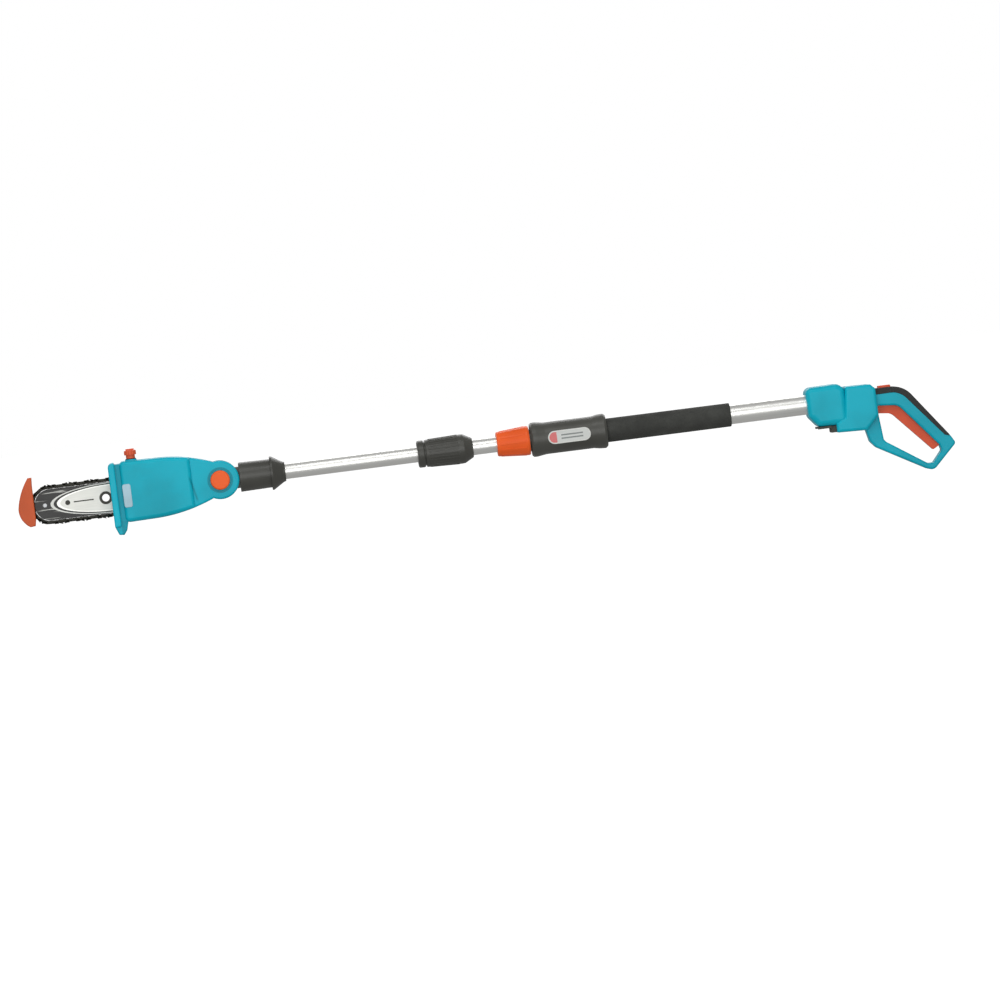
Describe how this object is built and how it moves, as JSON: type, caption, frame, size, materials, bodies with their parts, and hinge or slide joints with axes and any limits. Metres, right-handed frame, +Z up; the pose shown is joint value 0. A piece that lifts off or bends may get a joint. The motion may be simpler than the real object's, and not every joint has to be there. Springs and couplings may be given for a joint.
{
  "type": "telescoping pole saw",
  "caption": "Battery pole saw: a chain bar on a tilting head, a telescoping pole with a clamp nut and a coupling, a foam grip, and a closed rear handle with trigger.",
  "frame": {"origin": "on the pole axis, half way along the bare stretch of the outer tube between foam grip and rear housing, where the rear hand or a strap clamp holds the pole", "axes": "+X along the pole towards the rear handle, -X towards the saw head, +Z up, bar and chain on the +Y side"},
  "size_m": [1.6886, 0.079, 0.2193],
  "materials": {
    "teal_plastic": "satin moulded",
    "black_plastic": "fine spark texture",
    "orange_plastic": "satin moulded",
    "grip_rubber": "matt soft-touch",
    "foam": "closed-cell foam",
    "tube_aluminium": "satin anodised",
    "bar_steel": "ground, part painted black",
    "chain_steel": "oiled, dark",
    "machined_steel": "machined",
    "zinc_steel": "zinc plated",
    "contact_brass": "bright",
    "window_plastic": "clear, slightly frosted",
    "tank_plastic": "natural, translucent",
    "badge_plastic": "printed label",
    "lead_rubber": "smooth",
    "board": "coated board"
  },
  "bodies": {
    "handle": {"outer_tube": "tube_aluminium", "clamp_collet": "black_plastic", "lock_sleeve": "black_plastic", "badge": "badge_plastic", "foam_grip": "foam", "rear_shell_near": "teal_plastic", "rear_shell_far": "teal_plastic", "grip_pad": "grip_rubber", "handle_screws": "zinc_steel", "trigger_pin": "machined_steel", "trigger_spring": "zinc_steel", "lock_off_spring": "zinc_steel", "main_switch": "black_plastic", "battery_rails": "black_plastic", "terminal_block": "black_plastic", "contact_blades": "contact_brass", "circuit_board": "board", "coiled_lead": "lead_rubber"},
    "clamp_nut": {"clamp_nut": "orange_plastic"},
    "inner_pole": {"inner_tube": "tube_aluminium", "glide_bush": "black_plastic", "union_socket": "black_plastic", "lead_jack": "lead_rubber"},
    "union_nut": {"union_nut": "black_plastic"},
    "front_pole": {"front_tube": "tube_aluminium", "union_plug": "black_plastic", "lead_plug": "lead_rubber", "front_lead": "lead_rubber", "hinge_collar": "black_plastic", "collar_screws": "zinc_steel", "detent_ring": "black_plastic", "button_spring": "zinc_steel"},
    "head": {"head_shell_near": "teal_plastic", "head_shell_far": "teal_plastic", "chain_cover": "teal_plastic", "head_screws": "zinc_steel", "oil_window": "window_plastic", "oil_tank": "tank_plastic", "oil_cap_seal": "grip_rubber", "oil_pump": "black_plastic", "gear_plate": "machined_steel", "bar_nuts": "zinc_steel", "tension_block": "zinc_steel", "shaft_bearing": "machined_steel", "motor_can": "zinc_steel", "guide_bar": "bar_steel", "saw_chain": "chain_steel", "tip_guard": "orange_plastic", "tip_guard_screw": "zinc_steel", "pivot_pin": "machined_steel"},
    "pivot_button": {"pivot_button": "orange_plastic"},
    "oil_cap": {"oil_cap": "orange_plastic"},
    "tension_screw": {"tension_screw": "zinc_steel"},
    "drive": {"drive_gear": "machined_steel", "sprocket_shaft": "machined_steel", "drive_sprocket": "chain_steel"},
    "motor": {"motor_rotor": "machined_steel", "motor_pinion": "machined_steel"},
    "trigger": {"trigger": "orange_plastic"},
    "lock_off": {"lock_off": "orange_plastic"}
  },
  "joints": [
    {"name": "telescope", "type": "slide", "parent": "handle", "child": "inner_pole", "axis": [-1, 0, 0], "range_m": [0, 0.42]},
    {"name": "clamp_turn", "type": "hinge", "parent": "handle", "child": "clamp_nut", "pos_m": [-0.462, 0, 0], "axis": [1, 0, 0], "range_deg": [0, 120]},
    {"name": "union_turn", "type": "hinge", "parent": "inner_pole", "child": "union_nut", "pos_m": [-0.578, 0, 0], "axis": [1, 0, 0], "range_deg": [0, 720]},
    {"name": "union_part", "type": "slide", "parent": "inner_pole", "child": "front_pole", "axis": [-1, 0, 0], "range_m": [0, 0.06]},
    {"name": "head_tilt", "type": "hinge", "parent": "front_pole", "child": "head", "pos_m": [-0.993, 0, 0], "axis": [0, 1, 0], "range_deg": [-45, 45]},
    {"name": "pivot_press", "type": "slide", "parent": "head", "child": "pivot_button", "axis": [0, 1, 0], "range_m": [0, 0.004], "stiffness_N_per_m": 1500, "springref_m": -0.002},
    {"name": "cap_turn", "type": "hinge", "parent": "head", "child": "oil_cap", "pos_m": [-1.147, -0.013, 0.06], "axis": [0, 0, 1], "range_deg": [0, 720]},
    {"name": "tension_turn", "type": "hinge", "parent": "head", "child": "tension_screw", "pos_m": [-1.146, 0.03, -0.036], "axis": [0, 1, 0], "range_deg": [0, 1080]},
    {"name": "drive_turn", "type": "hinge", "parent": "head", "child": "drive", "pos_m": [-1.11, 0, -0.0066], "axis": [0, 1, 0], "continuous": true},
    {"name": "motor_turn", "type": "hinge", "parent": "head", "child": "motor", "pos_m": [-1.08, 0, -0.0066], "axis": [0, 1, 0], "continuous": true},
    {"name": "trigger_squeeze", "type": "hinge", "parent": "handle", "child": "trigger", "pos_m": [0.303, 0, -0.09], "axis": [0, 1, 0], "range_deg": [0, 5], "stiffness_Nm_per_rad": 3, "springref_deg": -5.73},
    {"name": "lock_off_press", "type": "slide", "parent": "handle", "child": "lock_off", "axis": [0, 0, -1], "range_m": [0, 0.003], "stiffness_N_per_m": 900, "springref_m": -0.002}
  ],
  "couplings": [
    {"joint": "motor_turn", "follows": "drive_turn", "ratio": -3}
  ]
}
